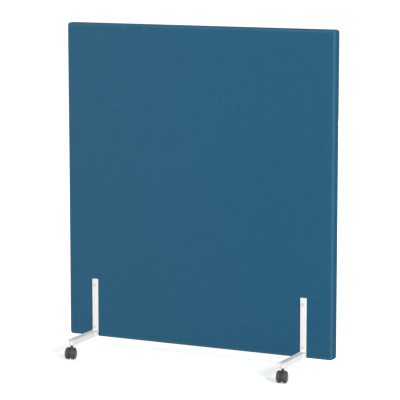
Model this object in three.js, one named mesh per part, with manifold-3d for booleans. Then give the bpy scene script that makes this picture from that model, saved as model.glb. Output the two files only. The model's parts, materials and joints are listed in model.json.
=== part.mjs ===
// Rolling partition: an upholstered panel on two pairs of bolted steel feet with twin-wheel castors.
// Millimetres, +Z up. The origin is on the floor under the middle of the panel; the front faces -Y.
import * as THREE from "three";
import { mergeVertices } from "three/addons/utils/BufferGeometryUtils.js";
import Module from "manifold-3d";

const wasm = await Module();
wasm.setup();

// ---- Driving dimensions -------------------------------------------------------------------------

// Castors
const wheelRadius = 25;
const castorWidth = 44; // over both wheels
const wheelGap = 10; // between the two wheels
const wheelShoulder = 11; // width of the rounding from the tread to the flat of the outer face
const wheelDomeDepth = 9; // how far the outer face stands proud of the tread
const wheelEdge = 1; // bevel at the tread's inner edge
const wheelRimThickness = 4.5;
const wheelHubRadius = 7;
const wheelHollow = 5; // depth of the ring-shaped hollow in the inner face
const castorTrail = 12; // from the stem's axis to the axle
const castorHeading = 10; // degrees the castors are turned from straight ahead, at rest
const axleRadius = 3;
const axleInset = 5; // from the wheel's outer face to the axle's end
const bodyRadius = 21.5; // round body between the wheels
const bodyBottom = 7; // from the floor up to where the body is cut off flat
const bossRadius = 6.8;
const bossTopRadius = 4.4;
const bossHeight = 5.3;
const stemRadius = 5.5;
const stemChamfer = 1.5;
const collarRadius = 8.2; // collar on the stem, which stops under the bush
const collarThickness = 2.1;
const spigotRadius = 2.8; // lower end of the stem, inside the castor body
const spigotLength = 20;

// Feet
const armOverWheel = 2.5; // clearance from the wheels up to the arm's web
const armLength = 225;
const armHeight = 28.5;
const flangeWidth = 25.5;
const flangeThickness = 3.5;
const webThickness = 3.5;
const stemFromArmEnd = 22;
const bushRadius = 10;
const bushBoreRadius = 7.6;
const uprightWidth = 26;
const uprightThickness = 5;
const uprightHeight = 244;
const uprightAboveWeb = 4; // from the web's lower edge up to the upright's lower end
const footInset = 125.5; // from the panel's end to the foot's centre line

// Through bolts and sleeve nuts
const boltRadius = 3;
const boltBelowTop = 25; // upper bolt, from the upright's top end
const boltAboveArm = 17.5; // lower bolt, from the arm's flange
const headRadius = 7;
const headHeight = 3.4;
const headRimShare = 0.25; // share of the head's height that is a straight rim
const threadInNut = 12;
const boreBeyondThread = 1.5;
const barrelRadius = 4.5;
const barrelLength = 24;
const hexKeyRadius = 2.3; // across the corners
const hexKeyDepth = 1.8;

// Panel
const panelWidth = 1200;
const panelHeight = 1320;
const panelThickness = 48;
const panelAboveWeb = 1.5; // from the web's lower edge up to the panel's lower edge
const edgeRadius = 10; // rounding between the faces and the narrow sides
const cornerExtraRadius = 2; // what the panel's corners are rounded more than its edges
const fabricThickness = 1.5;
const paddingThickness = 4;
const stileWidth = 45;
const topRailHeight = 45;
const middleRailHeight = 45;
const bottomRailHeight = 65;
const footBlockBeyondBolt = 52;
const footBlockAboveBolt = 35;
const stripWidth = 20; // closing strip in the slot where the fabric is turned in
const stripThickness = 1.2;
const stripEndMargin = 40;

// Clearances
const seatGap = 0.3; // between pieces that touch
const runGap = 0.4; // between pieces that turn on each other
const holeGap = 0.5; // round the nuts in their holes
const overcut = 1; // how far a cutting tool passes the surface it cuts

// Facets round a full turn
const wheelFacets = 24;
const roundFacets = 18;
const smallFacets = 12;
const edgeFacets = 4; // along each rounded edge and corner of the panel

// ---- Derived places -----------------------------------------------------------------------------

const wheelWidth = (castorWidth - wheelGap) / 2;
const treadCorner = wheelRadius / Math.cos(Math.PI / wheelFacets); // a facet, not a corner, is down
const bossBottom = wheelRadius + treadCorner + runGap;
const bossTop = bossBottom + bossHeight;
const webBottom = 2 * wheelRadius + armOverWheel;
const armTop = webBottom + armHeight;
const flangeUnderside = armTop - flangeThickness;
const collarBottom = bossTop + runGap;
const collarTop = collarBottom + collarThickness;
const bushBottom = collarTop + seatGap;
const uprightBottom = webBottom + uprightAboveWeb;
const uprightTop = uprightBottom + uprightHeight;
const upperBolt = uprightTop - boltBelowTop;
const lowerBolt = armTop + boltAboveArm;
const boltHoleRadius = barrelRadius + holeGap;

const panelBottom = webBottom + panelAboveWeb;
const panelTop = panelBottom + panelHeight;
const halfWidth = panelWidth / 2;
const halfThickness = panelThickness / 2;
const footX = halfWidth - footInset;
const uprightBack = halfThickness + seatGap;
const uprightFront = uprightBack + uprightThickness;
const headSeat = uprightFront + seatGap;
const armStart = uprightFront + seatGap;
const armEnd = armStart + armLength;
const stemFromMiddle = armEnd - stemFromArmEnd;

const liningInset = fabricThickness + seatGap; // what lies inside the cover stays this far in
const paddingFace = halfThickness - liningInset;
const frameFace = paddingFace - paddingThickness - seatGap;
const frameHalfWidth = halfWidth - liningInset;
const frameBottom = panelBottom + liningInset;
const frameTop = panelTop - liningInset;
const bayHalfWidth = frameHalfWidth - stileWidth - seatGap;
const bottomRailTop = frameBottom + bottomRailHeight;
const topRailBottom = frameTop - topRailHeight;
const middleRailBottom = (panelBottom + panelTop - middleRailHeight) / 2;
const middleRailTop = middleRailBottom + middleRailHeight;
const footBlockBottom = bottomRailTop + seatGap;
const footBlockTop = upperBolt + footBlockAboveBolt;
const footBlockInside = footX - footBlockBeyondBolt;

// ---- Materials ----------------------------------------------------------------------------------

const finish = (color, roughness, metalness) => ({ color, roughness, metalness });
const blueFabric = finish(0x2e5f7d, 0.95, 0);
const wadding = finish(0xe9e6dc, 1, 0);
const timber = finish(0xc9a877, 0.8, 0);
const mineralWool = finish(0xb9b08c, 1, 0);
const greyBoard = finish(0x4a4f53, 0.9, 0);
const whitePaint = finish(0xeeeeec, 0.45, 0);
const zinc = finish(0xc9ccce, 0.35, 0.9);
const blackPlastic = finish(0x2b2b2c, 0.5, 0);
const blackTyre = finish(0x323334, 0.6, 0);
const greyPlastic = finish(0x6e7173, 0.6, 0);

/** Adds one named piece with its own material to a group. */
function addPiece(parent, name, geometry, look) {
  const mesh = new THREE.Mesh(geometry, new THREE.MeshStandardMaterial(look));
  mesh.name = name;
  parent.add(mesh);
}

/** Adds a nested group at a place, turned about the upright axis. */
function addGroup(parent, x, y, angle) {
  const group = new THREE.Group();
  group.position.set(x, y, 0);
  group.rotation.z = angle;
  parent.add(group);
  return group;
}

// ---- Cuts and joins -----------------------------------------------------------------------------

/** Turns a closed geometry into a solid that can be cut and joined. */
function solid(geometry) {
  const bare = geometry.clone();
  bare.deleteAttribute("normal");
  bare.deleteAttribute("uv");
  const merged = mergeVertices(bare);
  return new wasm.Manifold(
    new wasm.Mesh({
      numProp: 3,
      vertProperties: new Float32Array(merged.attributes.position.array),
      triVerts: new Uint32Array(merged.index.array),
    }),
  );
}

/** Turns a solid back into a geometry with flat facets. */
function facets(body) {
  const mesh = body.getMesh();
  const shared = new THREE.BufferGeometry();
  shared.setAttribute("position", new THREE.BufferAttribute(mesh.vertProperties, 3));
  shared.setIndex(new THREE.BufferAttribute(mesh.triVerts, 1));
  const geometry = shared.toNonIndexed();
  geometry.computeVertexNormals();
  return geometry;
}

function cut(base, ...tools) {
  return facets(tools.reduce((left, tool) => left.subtract(solid(tool)), solid(base)));
}

function join(...pieces) {
  return facets(pieces.map(solid).reduce((sum, piece) => sum.add(piece)));
}

// ---- Shapes that several pieces use -------------------------------------------------------------

/** A box from its low corner to its high corner. */
function block(x0, y0, z0, x1, y1, z1) {
  const box = new THREE.BoxGeometry(x1 - x0, y1 - y0, z1 - z0);
  return box.translate((x0 + x1) / 2, (y0 + y1) / 2, (z0 + z1) / 2);
}

/** A round bar along Z. */
function roundBar(radius, z0, z1, sides = roundFacets) {
  const bar = new THREE.CylinderGeometry(radius, radius, z1 - z0, sides);
  return bar.rotateX(Math.PI / 2).translate(0, 0, (z0 + z1) / 2);
}

/** A round bar along X. */
function crossBar(radius, halfLength, sides = roundFacets) {
  return new THREE.CylinderGeometry(radius, radius, 2 * halfLength, sides).rotateZ(Math.PI / 2);
}

/** A turned solid about Z from [radius, height] points that start and end on the axis or close. */
function turned(points, sides = roundFacets) {
  const profile = points.map(([radius, height]) => new THREE.Vector2(radius, height));
  return new THREE.LatheGeometry(profile, sides).rotateX(Math.PI / 2);
}

/** A tube about Z. */
function tube(inner, outer, z0, z1) {
  return turned([[inner, z0], [outer, z0], [outer, z1], [inner, z1], [inner, z0]]);
}

/** Drills for the foot bolts at one X, along Y through everything. */
function boltDrills(x) {
  const length = 2 * (headSeat + overcut);
  return [lowerBolt, upperBolt].map((z) =>
    new THREE.CylinderGeometry(boltHoleRadius, boltHoleRadius, length, smallFacets).translate(x, 0, z),
  );
}

/** Drills the four foot bolts' holes through a piece of the panel, where they meet it. */
function drilled(piece) {
  return cut(piece, ...boltDrills(-footX), ...boltDrills(footX));
}

/** Rounds a piece of the panel's inside off where it would meet the cover's rounded edges. */
function lining(piece) {
  return drilled(facets(solid(piece).intersect(solid(pillow(liningInset)))));
}

// ---- Panel --------------------------------------------------------------------------------------

/** The panel's rounded outer form, or that form drawn in all round by an inset. */
function pillow(inset) {
  const bevel = edgeRadius - inset;
  const turn = cornerExtraRadius;
  const x = halfWidth - edgeRadius - turn;
  const low = panelBottom + edgeRadius + turn;
  const high = panelTop - edgeRadius - turn;
  const outline = new THREE.Shape();
  outline.absarc(x, low, turn, -Math.PI / 2, 0);
  outline.absarc(x, high, turn, 0, Math.PI / 2);
  outline.absarc(-x, high, turn, Math.PI / 2, Math.PI);
  outline.absarc(-x, low, turn, Math.PI, 1.5 * Math.PI);
  outline.closePath();
  const flat = panelThickness - 2 * edgeRadius;
  const slab = new THREE.ExtrudeGeometry(outline, {
    depth: flat,
    curveSegments: edgeFacets,
    bevelThickness: bevel,
    bevelSize: bevel,
    bevelSegments: edgeFacets,
  });
  return slab.rotateX(Math.PI / 2).translate(0, flat / 2, 0);
}

/** The fabric skin, open along a slot in its lower edge where the cloth is turned in and stapled. */
function addCover(panel) {
  const slotX = halfWidth - stripEndMargin;
  const slotY = stripWidth / 2;
  const slotTop = panelBottom + fabricThickness + overcut;
  const slot = block(-slotX, -slotY, panelBottom - overcut, slotX, slotY, slotTop);
  const hollow = solid(pillow(fabricThickness)).add(solid(slot));
  const skin = facets(solid(pillow(0)).subtract(hollow));
  const stripX = slotX - seatGap;
  const stripY = slotY - seatGap;
  const strip = block(-stripX, -stripY, panelBottom, stripX, stripY, panelBottom + stripThickness);
  addPiece(panel, "fabric_cover", drilled(skin), blueFabric);
  addPiece(panel, "bottom_strip", strip, greyBoard);
}

/** A padding sheet under the fabric, on the front (side -1) or on the rear (side 1). */
function padding(side) {
  const low = side < 0 ? -paddingFace : paddingFace - paddingThickness;
  return lining(block(-halfWidth, low, panelBottom, halfWidth, low + paddingThickness, panelTop));
}

/** A member that fills the frame's thickness. */
function member(x0, z0, x1, z1) {
  return lining(block(x0, -frameFace, z0, x1, frameFace, z1));
}

function addFrame(panel) {
  const x = bayHalfWidth;
  const stileX = frameHalfWidth - stileWidth;
  addPiece(panel, "left_stile", member(-frameHalfWidth, frameBottom, -stileX, frameTop), timber);
  addPiece(panel, "right_stile", member(stileX, frameBottom, frameHalfWidth, frameTop), timber);
  addPiece(panel, "top_rail", member(-x, topRailBottom, x, frameTop), timber);
  addPiece(panel, "middle_rail", member(-x, middleRailBottom, x, middleRailTop), timber);
  addPiece(panel, "bottom_rail", member(-x, frameBottom, x, bottomRailTop), timber);
  addPiece(panel, "left_foot_block", member(-x, footBlockBottom, -footBlockInside, footBlockTop), timber);
  addPiece(panel, "right_foot_block", member(footBlockInside, footBlockBottom, x, footBlockTop), timber);
}

/** The sound-absorbing slabs in the frame's two bays; the lower one is cut out round the foot blocks. */
function addInfill(panel) {
  const x = bayHalfWidth - seatGap;
  const notchX = footBlockInside - seatGap;
  const low = bottomRailTop + seatGap;
  const step = footBlockTop + seatGap;
  const middle = block(-notchX, -frameFace, low, notchX, frameFace, step + overcut);
  const wide = block(-x, -frameFace, step, x, frameFace, middleRailBottom - seatGap);
  const upper = block(-x, -frameFace, middleRailTop + seatGap, x, frameFace, topRailBottom - seatGap);
  addPiece(panel, "lower_infill", join(middle, wide), mineralWool);
  addPiece(panel, "upper_infill", upper, mineralWool);
}

function addPanel(parent) {
  const panel = addGroup(parent, 0, 0, 0);
  addCover(panel);
  addPiece(panel, "front_padding", padding(-1), wadding);
  addPiece(panel, "rear_padding", padding(1), wadding);
  addFrame(panel);
  addInfill(panel);
}

// ---- Feet, each in a frame where its arm runs along -Y ------------------------------------------

function upright() {
  const x = uprightWidth / 2;
  return cut(block(-x, -uprightFront, uprightBottom, x, -uprightBack, uprightTop), ...boltDrills(0));
}

/** The arm: a level flange over an upright web that stops at the stem bush. */
function teeArm() {
  const flangeX = flangeWidth / 2;
  const webX = webThickness / 2;
  const webTop = flangeUnderside + flangeThickness / 2;
  const flange = block(-flangeX, -armEnd, flangeUnderside, flangeX, -armStart, armTop);
  const web = block(-webX, -stemFromMiddle, webBottom, webX, -armStart, webTop);
  const bushSpace = roundBar(bushRadius + seatGap, webBottom - overcut, armTop);
  return join(flange, cut(web, bushSpace.translate(0, -stemFromMiddle, 0)));
}

/** A low dome that sits on z = 0 with a hexagon socket, on top of a shank that points down. */
function domeHeaded(shank) {
  const rim = headHeight * headRimShare;
  const arcSteps = 3;
  const points = [[0, 0], [headRadius, 0]];
  for (let step = 0; step < arcSteps; step += 1) {
    const angle = (step / arcSteps) * (Math.PI / 2);
    points.push([headRadius * Math.cos(angle), rim + (headHeight - rim) * Math.sin(angle)]);
  }
  points.push([0, headHeight]);
  const hexKey = roundBar(hexKeyRadius, headHeight - hexKeyDepth, headHeight + overcut, 6);
  return facets(solid(turned(points, smallFacets)).add(solid(shank)).subtract(solid(hexKey)));
}

/** The bolt: its shank crosses the panel and ends inside the sleeve nut. */
function bolt() {
  const length = 2 * headSeat - barrelLength + threadInNut;
  return domeHeaded(roundBar(boltRadius, -length, hexKeyDepth / 2, smallFacets));
}

/** The sleeve nut: a headed barrel with a blind bore for the bolt's end. */
function sleeveNut() {
  const boreEnd = -barrelLength + threadInNut + boreBeyondThread;
  const bore = roundBar(boltRadius + seatGap, -barrelLength - overcut, boreEnd, smallFacets);
  const barrel = roundBar(barrelRadius, -barrelLength, hexKeyDepth / 2, smallFacets);
  return domeHeaded(cut(barrel, bore));
}

/** Lays a fastener along Y with its head outwards on the upright's face, at one height. */
function onUpright(fastener, z) {
  return fastener.rotateX(Math.PI / 2).translate(0, -headSeat, z);
}

/** One foot: the upright, the arm and the bush that takes the castor's stem, with its socket. */
function addFoot(foot, name) {
  const bushTop = flangeUnderside - seatGap;
  const bush = tube(bushBoreRadius, bushRadius, bushBottom, bushTop);
  const socket = tube(stemRadius + runGap, bushBoreRadius - seatGap, bushBottom, bushTop - seatGap);
  addPiece(foot, name + "_upright", upright(), whitePaint);
  addPiece(foot, name + "_arm", teeArm(), whitePaint);
  addPiece(foot, name + "_stem_bush", bush.translate(0, -stemFromMiddle, 0), whitePaint);
  addPiece(foot, name + "_stem_socket", socket.translate(0, -stemFromMiddle, 0), greyPlastic);
}

/** The two fasteners of a foot: bolts in a front foot, sleeve nuts in a rear one. */
function addFasteners(foot, name, kind, make) {
  addPiece(foot, name + "_upper_" + kind, onUpright(make(), upperBolt), whitePaint);
  addPiece(foot, name + "_lower_" + kind, onUpright(make(), lowerBolt), whitePaint);
}

// ---- Castors, each in a frame with the stem on Z and the wheels towards -Y -----------------------

/** A wheel with its inner face on z = 0 and its domed outer face upwards. */
function wheel() {
  const treadWidth = wheelWidth - wheelDomeDepth;
  const flatRadius = treadCorner - wheelShoulder;
  const boreRadius = axleRadius + runGap;
  const boreDepth = wheelWidth - axleInset + runGap;
  const rimInside = wheelRadius - wheelRimThickness;
  const points = [
    [0, boreDepth],
    [boreRadius, boreDepth],
    [boreRadius, 0],
    [wheelHubRadius, 0],
    [wheelHubRadius, wheelHollow],
    [rimInside, wheelHollow],
    [rimInside, 0],
    [treadCorner - wheelEdge, 0],
    [treadCorner, wheelEdge],
  ];
  const arcSteps = 4;
  for (let step = 0; step <= arcSteps; step += 1) {
    const angle = (step / arcSteps) * (Math.PI / 2);
    const radius = flatRadius + wheelShoulder * Math.cos(angle);
    points.push([radius, treadWidth + wheelDomeDepth * Math.sin(angle)]);
  }
  points.push([0, wheelWidth]);
  return turned(points, wheelFacets).rotateZ(Math.PI / wheelFacets);
}

/** The castor's body: a disc between the wheels, with a neck and a boss round the stem. */
function castorBody() {
  const halfBody = wheelGap / 2 - runGap;
  const disc = crossBar(bodyRadius, halfBody).translate(0, -castorTrail, wheelRadius);
  const neck = block(-halfBody, -castorTrail, wheelRadius, halfBody, bossRadius, bossBottom + overcut);
  const boss = new THREE.CylinderGeometry(bossTopRadius, bossRadius, bossHeight, roundFacets);
  boss.rotateX(Math.PI / 2).translate(0, 0, bossBottom + bossHeight / 2);
  const spigotHole = roundBar(spigotRadius + runGap, bossTop - spigotLength - runGap, bossTop + overcut);
  const axleHole = crossBar(axleRadius + seatGap, castorWidth).translate(0, -castorTrail, wheelRadius);
  const front = -castorTrail - wheelRadius;
  const underside = block(-castorWidth, front, -overcut, castorWidth, wheelRadius, bodyBottom);
  return cut(join(disc, neck, boss), spigotHole, axleHole, underside);
}

/** The stem: a spigot in the castor's body, a collar, and a thicker shaft up into the socket. */
function castorStem() {
  const top = flangeUnderside - 2 * seatGap;
  return turned([
    [0, collarBottom - spigotLength],
    [spigotRadius, collarBottom - spigotLength],
    [spigotRadius, collarBottom],
    [collarRadius, collarBottom],
    [collarRadius, collarTop],
    [stemRadius, collarTop],
    [stemRadius, top - stemChamfer],
    [stemRadius - stemChamfer, top],
    [0, top],
  ]);
}

function addCastor(foot, name) {
  const castor = addGroup(foot, 0, -stemFromMiddle, THREE.MathUtils.degToRad(castorHeading));
  const axle = crossBar(axleRadius, castorWidth / 2 - axleInset).translate(0, -castorTrail, wheelRadius);
  addPiece(castor, name + "_castor_stem", castorStem(), zinc);
  addPiece(castor, name + "_castor_body", castorBody(), blackPlastic);
  addPiece(castor, name + "_castor_axle", axle, zinc);
  for (const [place, side] of [["a", -1], ["b", 1]]) {
    const turnedOut = wheel().rotateY((side * Math.PI) / 2);
    const placed = turnedOut.translate((side * wheelGap) / 2, -castorTrail, wheelRadius);
    addPiece(castor, name + "_wheel_" + place, placed, blackTyre);
  }
}

// ---- The whole partition ------------------------------------------------------------------------

const partition = new THREE.Group();
addPanel(partition);
for (const [name, x] of [["left", -footX], ["right", footX]]) {
  const front = addGroup(partition, x, 0, 0);
  const rear = addGroup(partition, x, 0, Math.PI);
  addFoot(front, "front_" + name);
  addFoot(rear, "rear_" + name);
  addFasteners(front, "front_" + name, "bolt", bolt);
  addFasteners(rear, "rear_" + name, "sleeve_nut", sleeveNut);
  addCastor(front, "front_" + name);
  addCastor(rear, "rear_" + name);
}

export default partition;
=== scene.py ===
"""Rolling partition: the finish of an upholstered panel on white steel feet with twin-wheel castors.

Metres, +Z up, the origin on the floor under the middle of the panel; the front faces -Y.
"""

import json
import math

import bmesh
import bpy
from mathutils import Matrix, Vector, noise


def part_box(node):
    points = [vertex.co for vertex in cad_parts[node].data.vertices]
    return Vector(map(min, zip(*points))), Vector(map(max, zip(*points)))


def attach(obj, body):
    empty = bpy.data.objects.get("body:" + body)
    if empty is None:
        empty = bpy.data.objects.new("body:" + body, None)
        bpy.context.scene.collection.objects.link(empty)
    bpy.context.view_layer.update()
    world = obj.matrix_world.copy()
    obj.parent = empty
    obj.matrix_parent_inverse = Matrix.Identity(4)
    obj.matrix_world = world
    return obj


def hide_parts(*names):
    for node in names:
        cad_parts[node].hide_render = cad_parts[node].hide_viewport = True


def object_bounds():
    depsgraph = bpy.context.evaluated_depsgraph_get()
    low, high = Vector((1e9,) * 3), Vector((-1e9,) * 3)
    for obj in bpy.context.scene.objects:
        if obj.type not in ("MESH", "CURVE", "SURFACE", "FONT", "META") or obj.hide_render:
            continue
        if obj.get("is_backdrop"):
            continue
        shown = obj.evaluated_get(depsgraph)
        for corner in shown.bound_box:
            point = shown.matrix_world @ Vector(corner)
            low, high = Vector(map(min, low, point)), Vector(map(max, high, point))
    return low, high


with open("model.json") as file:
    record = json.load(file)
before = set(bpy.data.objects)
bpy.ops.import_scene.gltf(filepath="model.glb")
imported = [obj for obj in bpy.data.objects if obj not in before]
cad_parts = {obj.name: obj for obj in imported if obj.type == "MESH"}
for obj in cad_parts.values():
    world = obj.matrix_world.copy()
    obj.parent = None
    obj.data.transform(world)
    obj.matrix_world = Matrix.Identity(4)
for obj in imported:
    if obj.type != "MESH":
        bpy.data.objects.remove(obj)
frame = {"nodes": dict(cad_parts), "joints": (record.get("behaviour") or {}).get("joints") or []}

MM = 0.001
ROOT = "panel_and_feet"
FEET = ("front_left", "front_right", "rear_left", "rear_right")
CAD_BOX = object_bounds()

# ---- Camera and stage ----

CAMERA_AZIMUTH = 25.70  # degrees round to the right of straight ahead
CAMERA_ELEVATION = 8.508
CAMERA_DISTANCE = 8.0866
CAMERA_AIM_RIGHT = 0.00149  # the point looked at, sideways from the origin
CAMERA_AIM_HEIGHT = 0.66274
CAMERA_SENSOR = 36.0  # millimetres, as Blender has it
CAMERA_LENS = 177.98
CAMERA_CLIP_END = 200.0

FLOOR_SIZE = 60.0
FLOOR_ALBEDO = 0.80
FLOOR_GLOW_FRONT = 0.50  # what camera rays add to the lit floor, so that it shows white
FLOOR_GLOW_REAR = 0.84  # and behind the panel, which keeps the front lamps off it
FLOOR_GLOW_FAR = 1.0
FLOOR_REAR_FROM, FLOOR_REAR_TO = 0.0, 0.20  # metres along Y over which the glow turns to the rear's
FLOOR_NEAR, FLOOR_FAR = 1.0, 3.0  # metres from the middle over which the glow rises to the far one

WORLD_LEVEL = 0.24
# name, azimuth, elevation, distance, width, height, irradiance at the middle of the object
LAMPS = (
    ("left_softbox", -18.0, 16.0, 9.0, 1.6, 1.2, 0.28),
    ("right_softbox", 55.0, 22.0, 12.0, 3.6, 2.6, 0.78),
    ("left_rear_softbox", -100.0, 7.0, 9.0, 3.6, 2.0, 0.42),
    ("rear_softbox", 185.0, 7.0, 9.0, 3.6, 2.0, 0.40),
)
LAMPS_AIM_HEIGHT = 0.6


def direction(azimuth, elevation):
    """The unit vector from the object towards that azimuth and elevation, in degrees."""
    a = math.radians(azimuth)
    e = math.radians(elevation)
    return Vector((math.sin(a) * math.cos(e), -math.cos(a) * math.cos(e), math.sin(e)))


def linked(name, data):
    """A new object in the scene."""
    made = bpy.data.objects.new(name, data)
    bpy.context.scene.collection.objects.link(made)
    return made


def set_up(made, spot, back):
    """Puts a camera or lamp at a place, with its back along a vector."""
    made.location = spot
    made.rotation_mode = "QUATERNION"
    made.rotation_quaternion = (-back).to_track_quat("-Z", "Y")


def add_camera():
    data = bpy.data.cameras.new("camera")
    data.sensor_width = CAMERA_SENSOR
    data.lens = CAMERA_LENS
    data.clip_end = CAMERA_CLIP_END
    back = direction(CAMERA_AZIMUTH, CAMERA_ELEVATION)
    a = math.radians(CAMERA_AZIMUTH)
    right = Vector((math.cos(a), math.sin(a), 0.0))
    aim = right * CAMERA_AIM_RIGHT + Vector((0.0, 0.0, CAMERA_AIM_HEIGHT))
    camera = linked("camera", data)
    set_up(camera, aim + back * CAMERA_DISTANCE, back)
    bpy.context.scene.camera = camera


def add_lamps():
    for name, azimuth, elevation, distance, width, height, irradiance in LAMPS:
        data = bpy.data.lights.new(name, "AREA")
        data.shape = "RECTANGLE"
        data.size = width
        data.size_y = height
        # a small flat lamp of P watts gives P / (pi d^2) on its axis, and pi of that shows as written
        data.energy = irradiance * math.pi * math.pi * distance**2
        lamp = linked(name, data)
        back = direction(azimuth, elevation)
        set_up(lamp, back * distance + Vector((0.0, 0.0, LAMPS_AIM_HEIGHT)), back)
        lamp.visible_camera = False


# ---- Node trees ----


def add(tree, kind, inputs=None, **settings):
    """Adds a node; an input is a value or another node's socket."""
    made = tree.nodes.new("ShaderNode" + kind)
    for key, value in settings.items():
        setattr(made, key, value)
    for key, value in (inputs or {}).items():
        if isinstance(value, bpy.types.NodeSocket):
            tree.links.new(value, made.inputs[key])
        else:
            made.inputs[key].default_value = value
    return made


def maths(tree, operation, a, b=0.0, c=0.0):
    """A math node's result; each operand is a number or a socket."""
    return add(tree, "Math", {0: a, 1: b, 2: c}, operation=operation).outputs[0]


def seen_as_white(tree):
    """1 for the rays that show the background itself: from the camera, in a gloss or through glass."""
    rays = add(tree, "LightPath").outputs
    direct = maths(tree, "MAXIMUM", rays["Is Camera Ray"], rays["Is Glossy Ray"])
    return maths(tree, "MAXIMUM", direct, rays["Is Transmission Ray"])


def add_world():
    world = bpy.data.worlds.new("studio")
    bpy.context.scene.world = world
    world.use_nodes = True
    tree = world.node_tree
    tree.nodes.clear()
    dim = add(tree, "Background", {"Color": (1, 1, 1, 1), "Strength": WORLD_LEVEL})
    white = add(tree, "Background", {"Color": (1, 1, 1, 1), "Strength": 1.0})
    mix = add(tree, "MixShader", {0: seen_as_white(tree), 1: dim.outputs[0], 2: white.outputs[0]})
    out = add(tree, "OutputWorld")
    tree.links.new(mix.outputs[0], out.inputs["Surface"])


def floor_material():
    """A pale floor that camera rays see as white, less the object's shadow."""
    made = bpy.data.materials.new("floor")
    made.use_nodes = True
    tree = made.node_tree
    tree.nodes.clear()
    albedo = (FLOOR_ALBEDO, FLOOR_ALBEDO, FLOOR_ALBEDO, 1)
    diffuse = add(tree, "BsdfDiffuse", {"Color": albedo})
    at = add(tree, "TexCoord").outputs["Object"]
    behind = add(tree, "SeparateXYZ", {0: at}).outputs["Y"]
    near = between(tree, behind, FLOOR_GLOW_FRONT, FLOOR_GLOW_REAR, FLOOR_REAR_FROM, FLOOR_REAR_TO)
    away = add(tree, "VectorMath", {0: at}, operation="LENGTH").outputs["Value"]
    far_share = between(tree, away, 0.0, 1.0, FLOOR_NEAR, FLOOR_FAR)
    level = add(tree, "Mix", {"Factor": far_share, 2: near, 3: FLOOR_GLOW_FAR}).outputs[0]
    glow = maths(tree, "MULTIPLY", seen_as_white(tree), level)
    light = add(tree, "Emission", {"Color": (1, 1, 1, 1), "Strength": glow})
    total = add(tree, "AddShader", {0: diffuse.outputs[0], 1: light.outputs[0]})
    out = add(tree, "OutputMaterial")
    tree.links.new(total.outputs[0], out.inputs["Surface"])
    return made


def add_floor():
    mesh = bpy.data.meshes.new("floor")
    half = FLOOR_SIZE / 2
    corners = [(-half, -half, 0), (half, -half, 0), (half, half, 0), (-half, half, 0)]
    mesh.from_pydata(corners, [], [(0, 1, 2, 3)])
    mesh.materials.append(floor_material())
    linked("floor", mesh)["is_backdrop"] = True


# ---- Materials of the object ----


def srgb(*values):
    """A colour read off as 0-255 values, as the linear colour that shaders take."""
    shares = [value / 255 for value in values]
    linear = [s / 12.92 if s <= 0.04045 else ((s + 0.055) / 1.055) ** 2.4 for s in shares]
    return (*linear, 1.0)


def principled(name, **inputs):
    """A new material with one Principled shader; returns the material, its tree and the shader."""
    made = bpy.data.materials.new(name)
    made.use_nodes = True
    tree = made.node_tree
    shader = tree.nodes["Principled BSDF"]
    for key, value in inputs.items():
        shader.inputs[key.replace("_", " ")].default_value = value
    return made, tree, shader


def place(tree):
    """The rest position on the piece, in metres."""
    return add(tree, "TexCoord").outputs["Object"]


def cloud(tree, size, detail=2.0, roughness=0.5, stretch=None):
    """Smooth noise from 0 to 1 with features of about one size, in metres."""
    where = place(tree)
    if stretch:
        where = add(tree, "Mapping", {"Vector": where, "Scale": stretch}).outputs[0]
    inputs = {"Vector": where, "Scale": 1 / size, "Detail": detail, "Roughness": roughness}
    return add(tree, "TexNoise", inputs).outputs["Fac"]


def between(tree, amount, low, high, start=0.0, end=1.0):
    """Maps an amount from start..end to low..high."""
    inputs = {"Value": amount, "From Min": start, "From Max": end, "To Min": low, "To Max": high}
    return add(tree, "MapRange", inputs).outputs[0]


def mixed(tree, amount, first, second, **how):
    """A blend of two colours."""
    return add(tree, "Mix", {"Factor": amount, 6: first, 7: second}, data_type="RGBA", **how).outputs[2]


def shaded(tree, colour, brightness):
    """A colour times a brightness."""
    return mixed(tree, 1.0, colour, brightness, blend_type="MULTIPLY")


def bumped(tree, shader, height, distance, strength=1.0):
    """Gives the shader a bump from a 0 to 1 height, that many metres deep."""
    inputs = {"Height": height, "Distance": distance, "Strength": strength}
    tree.links.new(add(tree, "Bump", inputs).outputs[0], shader.inputs["Normal"])


# The cloth's weave
THREAD_PITCH = 1.5 * MM
THREAD_WANDER = 0.22 * MM  # how far a thread strays sideways
THREAD_WANDER_SIZE = 9 * MM  # and over what length
THREAD_ROUNDNESS = 0.6  # the power that flattens a sine into a thread's back
THREAD_DIP = 0.5  # a thread's height where it meets the gap beside a crossing one
THREAD_SHADE_CHANGE = 0.07  # how fast a thread's shade changes along it, against across the threads
WEFT_SHIFT = 7.0  # keeps the two sets of threads from sharing their shades
RELIEF_DEPTH = 0.16 * MM
FIBRE_SIZE = 0.5 * MM
MOTTLE_SIZE = 55 * MM

# The painted highlight along the roundings, by the distance from the panel's edge seen from the front
HIGHLIGHT_MOST = 4.5 * MM
HIGHLIGHT_END = 14 * MM

# A painted sheen that makes the cloth paler and greyer at the left, gone past the middle
SHEEN_CLOUDS = 0.25  # how far unevenness shifts it, in metres
SHEEN_GONE_FROM = 0.35


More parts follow.
